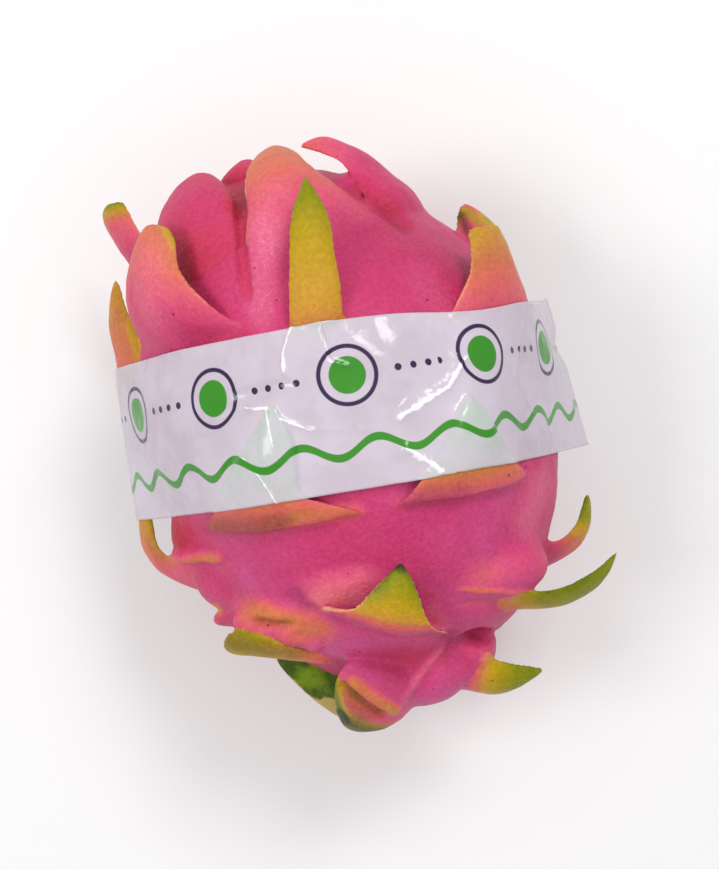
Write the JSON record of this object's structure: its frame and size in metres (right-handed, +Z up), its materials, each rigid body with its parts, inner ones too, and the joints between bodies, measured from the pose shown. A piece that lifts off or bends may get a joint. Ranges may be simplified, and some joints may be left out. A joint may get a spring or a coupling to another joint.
{
  "type": "dragon fruit",
  "caption": "Red-skinned dragon fruit lying on its back, with curling fleshy scales, the stub of its stem and a band of thin milky film round its waist.",
  "frame": {"origin": "on the surface the fruit rests on, below its long axis, on the flat underside of the film band", "axes": "+Y along the fruit's long axis from the stem end to the crown; +Z up, away from the surface; +X to the right when the fruit is seen from above with its crown away from the viewer"},
  "size_m": [0.0987, 0.1236, 0.0877],
  "materials": {
    "rind": "satin, waxy skin: magenta body, salmon to golden scales with yellow-green tips, crimson inner faces",
    "stem": "smooth green cactus skin with a corky brown edge and a cream woody cut end",
    "film": "glossy milky translucent film with fine creases and a plain printed pattern"
  },
  "bodies": {
    "root": {"fruit": "rind", "stem_stub": "stem", "film_band": "film"}
  },
  "joints": []
}
